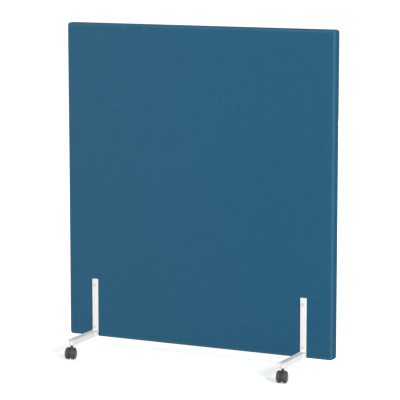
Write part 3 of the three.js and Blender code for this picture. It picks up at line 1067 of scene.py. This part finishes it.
WHEEL_RADIUS = 25 * MM
WHEEL_WIDTH = 17 * MM
WHEEL_DOME = 9 * MM
WHEEL_SHOULDER = 11 * MM
WHEEL_EDGE = 2.2 * MM  # rounding of the tread's inner edge
WHEEL_RIM = 4.5 * MM
WHEEL_HOLLOW = 5 * MM
WHEEL_LIP = 0.5 * MM
HUB_RADIUS = 7 * MM
AXLE_RADIUS = 3 * MM
AXLE_DEPTH = 12.4 * MM
RUN_GAP = 0.4 * MM
GROOVE_DEPTH = 0.5 * MM
GROOVE_SLOPE = 0.2 * MM
GROOVES = ((13.4 * MM, 0.7 * MM), (6.2 * MM, 0.5 * MM))  # outer radius and width
TRAIL = 12 * MM
BODY_RADIUS = 21.5 * MM
BODY_HALF = 4.6 * MM
BODY_BOTTOM = 7 * MM
BOSS_RADIUS = 6.8 * MM
BOSS_TOP_RADIUS = 4.4 * MM
BOSS_HEIGHT = 5.3 * MM
BODY_EDGE = 1.0 * MM
BODY_STEPS = 24
STEM_RADIUS = 5.5 * MM
STEM_CHAMFER = 1.5 * MM
COLLAR_RADIUS = 8.2 * MM
COLLAR_THICKNESS = 2.1 * MM
SPIGOT_RADIUS = 2.8 * MM
GRIP_DROP = 6 * MM  # from the stem's top end down to the ring groove that the socket grips
GRIP_DEPTH = 1 * MM
SMALL_EDGE = 0.4 * MM
SEAT_GAP = 0.3 * MM


def castor_frame(foot):
    stem = JOINTS[foot + "_swivel_turn"]["pos_m"]
    axle = JOINTS[foot + "_wheel_a_spin"]["axis"]
    turn = math.atan2(axle[1], axle[0])
    return Matrix.Translation((stem[0], stem[1], 0)) @ Matrix.Rotation(turn, 4, "Z")


def wheel_mesh():
    """A wheel about X, its domed outer face towards +X and its middle at the origin."""
    bore = AXLE_RADIUS + RUN_GAP
    rim = WHEEL_RADIUS - WHEEL_RIM
    lip = WHEEL_LIP
    tread = WHEEL_WIDTH - WHEEL_DOME
    rings = [(0, AXLE_DEPTH), (bore, AXLE_DEPTH), (bore, lip), (bore + lip, 0)]
    rings += [(HUB_RADIUS - lip, 0), (HUB_RADIUS, lip), (HUB_RADIUS, WHEEL_HOLLOW)]
    rings += [(rim, WHEEL_HOLLOW), (rim, lip), (rim + lip, 0)]
    rings += arc(WHEEL_RADIUS - WHEEL_EDGE, WHEEL_EDGE, WHEEL_EDGE, WHEEL_EDGE, -90, 0, 5)
    rings += arc(WHEEL_RADIUS - WHEEL_SHOULDER, tread, WHEEL_SHOULDER, WHEEL_DOME, 8, 78, 12)
    for radius, width in GROOVES:
        rings += groove(radius, width, WHEEL_WIDTH - 0.1 * MM)
    rings += [(3.0 * MM, WHEEL_WIDTH - 0.02 * MM), (0, WHEEL_WIDTH)]
    mesh = ring_mesh("wheel", rings, WHEEL_SIDES)
    mesh.transform(Matrix.Rotation(math.pi / 2, 4, "Y") @ Matrix.Translation((0, 0, -WHEEL_WIDTH / 2)))
    return mesh


def groove(radius, width, height):
    """A shallow ring groove in a face, from the outside in."""
    floor = height - GROOVE_DEPTH
    inner = radius - width
    slope = GROOVE_SLOPE
    return [(radius, height), (radius - slope, floor), (inner, floor), (inner - slope, height)]


def body_arc(start, end):
    """Points on the body's round side between two angles."""
    angles = [start + (end - start) * k / BODY_STEPS for k in range(BODY_STEPS + 1)]
    return [(-TRAIL + BODY_RADIUS * math.cos(a), WHEEL_RADIUS + BODY_RADIUS * math.sin(a)) for a in angles]


def body_outline():
    """The castor body from the side, in Y and Z: a disc cut off below, with a neck up to the boss."""
    boss_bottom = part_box(FEET[0] + "_castor_body")[1].z - BOSS_HEIGHT
    cut = math.acos((WHEEL_RADIUS - BODY_BOTTOM) / BODY_RADIUS)
    front = math.pi / 2 - math.asin((TRAIL + BOSS_RADIUS) / BODY_RADIUS)
    rear = math.pi / 2 + math.asin((BOSS_RADIUS - TRAIL) / BODY_RADIUS)
    neck = [(BOSS_RADIUS, boss_bottom), (-BOSS_RADIUS, boss_bottom)]
    return body_arc(cut - math.pi / 2, front) + neck + body_arc(rear, math.pi * 1.5 - cut)


def castor_body_mesh():
    """The moulded body between the wheels, with a hollow-sided boss that takes the stem's spigot."""
    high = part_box(FEET[0] + "_castor_body")[1]
    plate = extruded_mesh("plate", body_outline(), -BODY_HALF, BODY_HALF, BODY_EDGE)
    plate.transform(Matrix.Rotation(math.pi / 2, 4, "Z") @ Matrix.Scale(-1, 4, (0, 1, 0)))
    foot = high.z - BOSS_HEIGHT
    flare = BOSS_RADIUS - BOSS_TOP_RADIUS
    rings = [(0, foot - 6 * MM), (BODY_HALF - SMALL_EDGE, foot - 6 * MM)]
    rings += [(BOSS_RADIUS - 0.3 * MM, foot - 0.6 * MM)]
    rings += arc(BOSS_RADIUS, foot + flare + 0.2 * MM, flare, flare, 270, 180, 6)
    rings += [(BOSS_TOP_RADIUS, high.z - SMALL_EDGE), (BOSS_TOP_RADIUS - SMALL_EDGE, high.z), (0, high.z)]
    boss = ring_mesh("boss", rings, MEDIUM)
    return combined(plate, boss, "UNION")


def stem_mesh():
    """The turned stem: its spigot in the body, the collar under the bush, and the groove for its socket."""
    low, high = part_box(FEET[0] + "_castor_stem")
    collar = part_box(FEET[0] + "_stem_bush")[0].z - SEAT_GAP
    under = collar - COLLAR_THICKNESS
    edge = SMALL_EDGE
    rings = [(0, low.z), (SPIGOT_RADIUS, low.z), (SPIGOT_RADIUS, under)]
    rings += [(COLLAR_RADIUS - edge, under), (COLLAR_RADIUS, under + edge)]
    rings += [(COLLAR_RADIUS, collar - edge), (COLLAR_RADIUS - edge, collar), (STEM_RADIUS, collar)]
    grip = high.z - GRIP_DROP
    waist = STEM_RADIUS - GRIP_DEPTH
    rings += [(STEM_RADIUS, grip), (waist, grip + 0.3 * MM), (waist, grip + 2 * MM)]
    rings += [(STEM_RADIUS, grip + 2.3 * MM), (STEM_RADIUS, high.z - STEM_CHAMFER)]
    rings += [(STEM_RADIUS - STEM_CHAMFER, high.z), (0, high.z)]
    return ring_mesh("castor_stem", rings, FINE)


def add_castors(nylon, tyre, metal):
    stem = stem_mesh()
    body = castor_body_mesh()
    wheel = wheel_mesh()
    for foot in FEET:
        here = castor_frame(foot)
        made = add_object(foot + "_castor_stem_turned", stem, metal, here)
        as_piece(made, ROOT, "zinc", foot + "_castor_stem")
        made = add_object(foot + "_castor_body_moulded", body, nylon, here)
        as_piece(made, foot + "_swivel", "black_plastic", foot + "_castor_body")
        for wheel_name, turn in (("a", math.pi), ("b", 0.0)):
            node = f"{foot}_wheel_{wheel_name}"
            middle = Vector(JOINTS[node + "_spin"]["pos_m"])
            matrix = Matrix.Translation(middle) @ here.to_3x3().to_4x4() @ Matrix.Rotation(turn, 4, "Z")
            as_piece(add_object(node + "_moulded", wheel, tyre, matrix), node, "black_wheel", node)
        refinish(foot + "_castor_axle", metal)


# ---- Inner pieces ----

SLAB_CELL = 24 * MM
SLAB_LAYERS = 3
JITTER_SIZE = 1.6  # in cells
INSIDE_CLOTH = 0.7 * MM
PADDING_ROUGH = 0.25 * MM
WOOL_ROUGH = 0.8 * MM


def soft_slab(name, low, high, rough, seed):
    """A closed slab with a soft, uneven surface, kept inside the cover's rounded edges."""
    bm = block(low, high)
    for axis in (0, 2):
        slice_all(bm, axis, spread(low[axis], high[axis], SLAB_CELL)[1:-1])
    slice_all(bm, 1, spread(low.y, high.y, (high.y - low.y) / SLAB_LAYERS)[1:-1])
    outer_low, outer_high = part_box("fabric_cover")
    core_low = outer_low + Vector((EDGE_RADIUS,) * 3)
    core_high = outer_high - Vector((EDGE_RADIUS,) * 3)
    reach = EDGE_RADIUS - CLOTH_THICKNESS - INSIDE_CLOTH
    noise.seed_set(seed)  # the noise vectors take theirs from the clock otherwise
    for vert in bm.verts:
        jitter = noise.noise_vector(vert.co / (JITTER_SIZE * SLAB_CELL))
        vert.co += jitter * rough - Vector((0, math.copysign(rough, vert.co.y), 0))
        core = Vector(min(max(vert.co[k], core_low[k]), core_high[k]) for k in range(3))
        away = vert.co - core
        if away.length > reach:
            vert.co = core + away * (reach / away.length)
    return to_mesh(name, bm)


def inner_materials():
    """The wadding, the mineral wool and the fibre board."""
    tangle = {"detail": 6.0, "roughness": 0.7}
    layers = {"detail": 8.0, "roughness": 0.75, "stretch": (1.0, 3.0, 1.0)}
    lines = {**tangle, "stretch": (0.3, 1.0, 1.0)}
    return (
        grained("wadding", 1.0, srgb(214, 210, 200), srgb(242, 240, 233), 1.2 * MM, 6 * MM, **tangle),
        grained("mineral_wool", 1.0, srgb(140, 130, 96), srgb(206, 198, 160), 1.5 * MM, 4 * MM, **layers),
        grained("fibre_board", 0.9, srgb(58, 62, 66), srgb(90, 95, 99), 0.2 * MM, 3 * MM, **lines),
    )


def add_inner_pieces():
    wadding, wool, board = inner_materials()
    sheets = (
        ("front_padding", "padding", wadding, PADDING_ROUGH),
        ("rear_padding", "padding", wadding, PADDING_ROUGH),
        ("lower_infill", "infill", wool, WOOL_ROUGH),
        ("upper_infill", "infill", wool, WOOL_ROUGH),
    )
    for number, (node, slot, material, rough) in enumerate(sheets):
        mesh = soft_slab(node + "_sheet", *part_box(node), rough, 1 + number)
        made = add_object(node + "_sheet", mesh, material)
        as_piece(made, ROOT, slot, node)
    along_x = timber("timber_along_x", 0)
    along_z = timber("timber_along_z", 2)
    for node in ("left_stile", "right_stile", "left_foot_block", "right_foot_block"):
        refinish(node, along_z)
    for node in ("top_rail", "middle_rail", "bottom_rail"):
        refinish(node, along_x)
    refinish("bottom_strip", board)


# ---- The scene ----

bpy.context.scene.view_settings.view_transform = "Standard"
add_camera()
add_lamps()
add_world()
add_floor()

WHITE = powder_coat("white_powder_coat", srgb(237, 237, 236))
add_cover(fabric())
add_inner_pieces()
add_uprights(WHITE)
add_arms(WHITE)
add_bushes(WHITE, grained("grey_nylon", 0.6, srgb(98, 101, 103), srgb(122, 125, 127), 0.03 * MM, 1.2 * MM))
add_welds(WHITE)
# the bolts and nuts are a shade greyer than the bars' coat, which stands in for the shade round their
# heads: painted shade
add_fasteners(powder_coat("bolt_paint_with_painted_shade", srgb(222, 221, 218)))
add_castors(black_nylon(), wheel_nylon(), zinc())

boxes = {"cad": CAD_BOX, "visual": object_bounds()}
{name: [list(corner) for corner in box] for name, box in boxes.items()}
